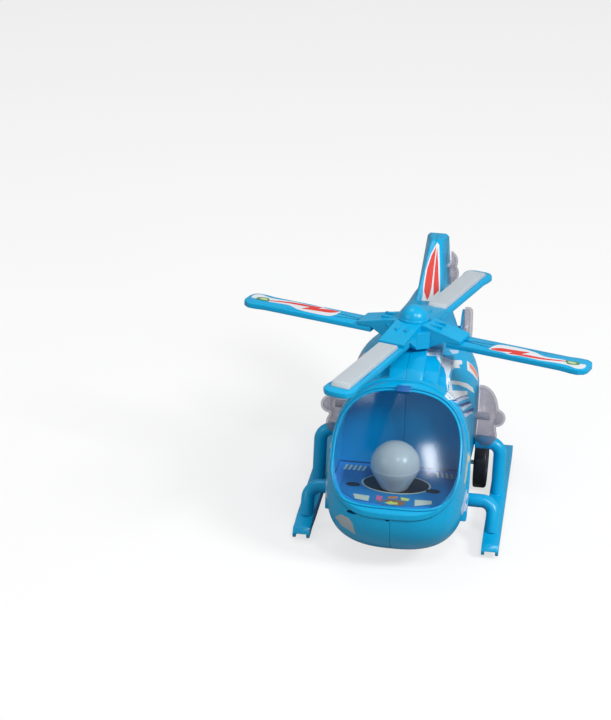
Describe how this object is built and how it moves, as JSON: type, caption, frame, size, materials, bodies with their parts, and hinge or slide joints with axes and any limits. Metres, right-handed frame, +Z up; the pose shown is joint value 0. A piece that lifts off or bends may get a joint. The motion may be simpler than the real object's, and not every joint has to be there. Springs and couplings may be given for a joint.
{
  "type": "toy helicopter",
  "caption": "Battery toy helicopter with a turning lit rotor, bubble cockpit, twin skids, rear wheels and a self-steering drive carriage underneath.",
  "frame": {"origin": "on the floor that the wheels stand on, below the middle of the overall box; the rotor mast stands 31.8 mm ahead of it, towards -Y", "axes": "+Z up along the rotor mast, -Y towards the nose, +X towards the helicopter's own left side"},
  "size_m": [0.2314, 0.2957, 0.1479],
  "materials": {
    "body_blue": "glossy light sky-blue moulding",
    "deep_blue": "satin deeper blue moulding",
    "clear_screen": "clear, faintly blue, polished",
    "lilac_clear": "clear, faintly lilac, polished",
    "print_sheet": "printed film",
    "milky_white": "milky translucent white",
    "led_amber": "clear amber",
    "led_red": "clear red",
    "steel": "drawn, bright",
    "gear_white": "natural acetal",
    "ivory": "natural moulding",
    "brass": "turned",
    "black_plastic": "satin black moulding",
    "grey_plastic": "satin grey moulding",
    "black_rubber": "soft black",
    "battery_can": "wrapped metal can",
    "board_green": "solder mask"
  },
  "bodies": {
    "airframe": {"fuselage_left": "body_blue", "fuselage_right": "body_blue", "chassis": "deep_blue", "window_bezel": "body_blue", "windscreen": "clear_screen", "window_catch": "deep_blue", "cockpit_floor": "deep_blue", "instrument_sheet": "print_sheet", "pilot_lamp": "milky_white", "lamp_led": "led_amber", "engine_pod_left": "lilac_clear", "engine_pod_right": "lilac_clear", "pod_leds": "led_red", "tail_disc": "lilac_clear", "tail_disc_base": "body_blue", "fin_lens": "lilac_clear", "tail_leds": "led_red", "skid_left": "body_blue", "skid_right": "body_blue", "mast_bush": "gear_white", "gearbox_base": "ivory", "gearbox_cover": "ivory", "idler_pin": "steel", "rotor_motor": "steel", "carriage_well_cap": "deep_blue", "ring_brushes": "brass", "batteries": "battery_can", "circuit_board": "board_green", "speaker": "black_plastic", "body_screws": "steel"},
    "rotor": {"rotor_hub": "body_blue", "hub_cap": "body_blue", "rotor_mast": "steel", "mast_gear": "gear_white", "blade_left": "body_blue", "blade_right": "body_blue", "blade_front": "body_blue", "blade_rear": "body_blue", "blade_lens_front": "milky_white", "blade_lens_rear": "milky_white", "blade_leds": "led_amber", "blade_screws": "steel"},
    "idler": {"rotor_idler": "gear_white"},
    "rotor_pinion": {"rotor_motor_shaft": "brass"},
    "rear_wheelset": {"rear_axle": "steel", "rear_wheel_left": "black_plastic", "rear_wheel_right": "black_plastic"},
    "carriage": {"carriage_drum": "grey_plastic", "carriage_lid": "grey_plastic", "slip_rings": "brass", "drive_motor": "steel", "drive_idler_pin": "steel"},
    "drive_wheelset": {"drive_axle": "steel", "drive_wheels": "gear_white", "drive_tyres": "black_rubber"},
    "carriage_idler": {"drive_idler": "gear_white"},
    "drive_pinion": {"drive_motor_shaft": "brass"},
    "door": {"battery_door": "deep_blue", "door_screw": "steel"},
    "switch": {"power_switch": "black_plastic"}
  },
  "joints": [
    {"name": "rotor_spin", "type": "hinge", "parent": "airframe", "child": "rotor", "pos_m": [0, -0.0318, 0.12], "axis": [0, 0, 1], "continuous": true},
    {"name": "rotor_idler_spin", "type": "hinge", "parent": "airframe", "child": "idler", "pos_m": [0, -0.01732, 0.085], "axis": [0, 0, 1], "continuous": true},
    {"name": "rotor_pinion_spin", "type": "hinge", "parent": "airframe", "child": "rotor_pinion", "pos_m": [0, -0.00284, 0.08], "axis": [0, 0, 1], "continuous": true},
    {"name": "rear_wheel_spin", "type": "hinge", "parent": "airframe", "child": "rear_wheelset", "pos_m": [0, 0.0192, 0.017], "axis": [1, 0, 0], "continuous": true},
    {"name": "carriage_swivel", "type": "hinge", "parent": "airframe", "child": "carriage", "pos_m": [0, -0.0733, 0.02], "axis": [0, 0, 1], "continuous": true},
    {"name": "drive_wheel_spin", "type": "hinge", "parent": "carriage", "child": "drive_wheelset", "pos_m": [0, -0.0733, 0.01], "axis": [1, 0, 0], "continuous": true},
    {"name": "carriage_idler_spin", "type": "hinge", "parent": "carriage", "child": "carriage_idler", "pos_m": [0, -0.06897, 0.02192], "axis": [1, 0, 0], "continuous": true},
    {"name": "drive_pinion_spin", "type": "hinge", "parent": "carriage", "child": "drive_pinion", "pos_m": [0, -0.0733, 0.0285], "axis": [1, 0, 0], "continuous": true},
    {"name": "battery_door_lift", "type": "slide", "parent": "airframe", "child": "door", "axis": [0, 0, -1], "range_m": [0, 0.03]},
    {"name": "switch_slide", "type": "slide", "parent": "airframe", "child": "switch", "axis": [1, 0, 0], "range_m": [0, 0.004]}
  ],
  "couplings": [
    {"joint": "rotor_idler_spin", "follows": "rotor_spin", "ratio": -3},
    {"joint": "rotor_pinion_spin", "follows": "rotor_spin", "ratio": 9},
    {"joint": "carriage_idler_spin", "follows": "drive_wheel_spin", "ratio": -2},
    {"joint": "drive_pinion_spin", "follows": "drive_wheel_spin", "ratio": 2.3333}
  ]
}
